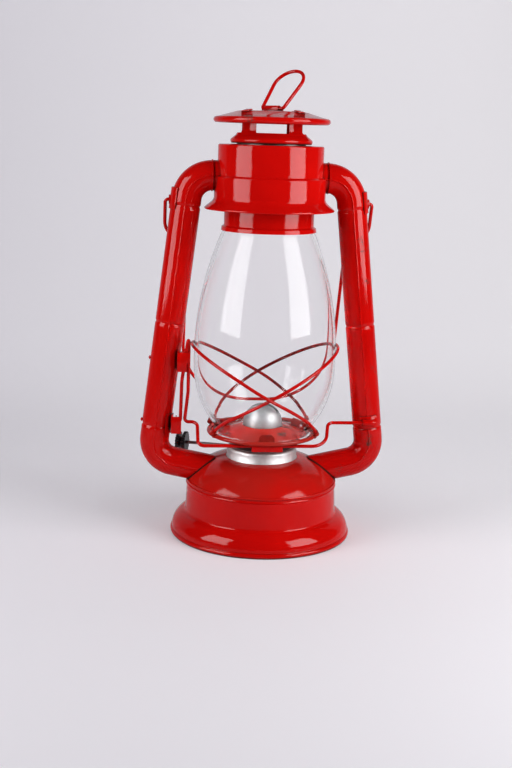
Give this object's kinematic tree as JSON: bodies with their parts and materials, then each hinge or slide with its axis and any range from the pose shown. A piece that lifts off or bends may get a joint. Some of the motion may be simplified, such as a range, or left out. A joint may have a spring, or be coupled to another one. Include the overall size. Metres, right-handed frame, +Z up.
{
  "type": "hurricane lantern",
  "caption": "Oil lantern with enamelled fount and flat-wick burner, glass globe in wire guards between side air tubes, sprung chimney, globe lift lever, carrying bail and lift ring.",
  "frame": {"origin": "middle of the foot rim on the ground", "axes": "+X to the right seen from the front, +Y away from the front, +Z up along the chimney axis"},
  "size_m": [0.1788, 0.1326, 0.3342],
  "materials": {
    "red_enamel": "glossy red enamel",
    "tin_plate": "bright tinned sheet",
    "dark_knob": "dark blackened metal",
    "burner_dark": "dull dark burner plate",
    "globe_glass": "clear",
    "cotton_wick": "woven cotton",
    "rubber_gasket": "matt"
  },
  "bodies": {
    "frame": {"fount_bowl": "red_enamel", "fount_bottom": "red_enamel", "tank_top": "tin_plate", "fount_dome": "red_enamel", "filler_neck": "tin_plate", "filler_gasket": "rubber_gasket", "burner_collar": "tin_plate", "burner_gallery": "burner_dark", "burner_body": "tin_plate", "wick_tube": "tin_plate", "burner_cone": "tin_plate", "lever_bracket": "red_enamel", "lever_clip": "red_enamel", "right_wire_eye": "red_enamel", "tube_rivets": "red_enamel", "left_tube": "red_enamel", "right_tube": "red_enamel", "left_bail_ear": "red_enamel", "right_bail_ear": "red_enamel", "canopy": "red_enamel", "hood_spring": "tin_plate"},
    "lift_lever": {"lift_wire": "red_enamel"},
    "globe_carrier": {"globe_plate": "red_enamel", "plate_strap": "red_enamel", "globe": "globe_glass", "guard_wire_left": "red_enamel", "guard_wire_right": "red_enamel"},
    "chimney": {"chimney_collar": "red_enamel", "chimney_tube": "tin_plate", "crown": "red_enamel", "chimney_cap": "red_enamel", "ring_bridge": "red_enamel"},
    "ring": {"lift_ring": "red_enamel"},
    "bail": {"bail": "red_enamel"},
    "wick_drive": {"wick_shaft": "tin_plate", "star_wheels": "tin_plate", "wick_knob": "dark_knob"},
    "wick_strip": {"wick": "cotton_wick"},
    "filler_lid": {"filler_cap": "tin_plate"}
  },
  "joints": [
    {"name": "lift_lever", "type": "hinge", "parent": "frame", "child": "lift_lever", "pos_m": [0, -0.0123, 0.0852], "axis": [-1, 0, 0], "range_deg": [0, 55]},
    {"name": "globe_lift", "type": "slide", "parent": "frame", "child": "globe_carrier", "axis": [0, 0, 1], "range_m": [0, 0.021], "deforming": ["hood_spring"]},
    {"name": "hood_lift", "type": "slide", "parent": "globe_carrier", "child": "chimney", "axis": [0, 0, 1], "range_m": [0, 0.009], "stiffness_N_per_m": 150, "springref_m": -0.02, "deforming": ["hood_spring"]},
    {"name": "ring_swing", "type": "hinge", "parent": "chimney", "child": "ring", "pos_m": [0, 0, 0.3066], "axis": [0.7071, -0.7071, 0], "range_deg": [-38, 126]},
    {"name": "bail_swing", "type": "hinge", "parent": "frame", "child": "bail", "pos_m": [0, 0, 0.2425], "axis": [1, 0, 0], "range_deg": [0, 315]},
    {"name": "wick_turn", "type": "hinge", "parent": "frame", "child": "wick_drive", "pos_m": [0.00175, 0.00574, 0.0608], "axis": [-0.9563, 0.2924, 0], "range_deg": [-80, 80]},
    {"name": "wick_rise", "type": "slide", "parent": "frame", "child": "wick_strip", "axis": [0, 0, 1], "range_m": [-0.006, 0.006]},
    {"name": "filler_turn", "type": "hinge", "parent": "frame", "child": "filler_lid", "pos_m": [0.01106, 0.04129, 0.05643], "axis": [0.1215, 0.4535, 0.8829], "range_deg": [0, 540]}
  ],
  "couplings": [
    {"joint": "lift_lever", "follows": "globe_lift", "rad_per_m": 45.558},
    {"joint": "wick_rise", "follows": "wick_turn", "m_per_rad": 0.0042}
  ]
}
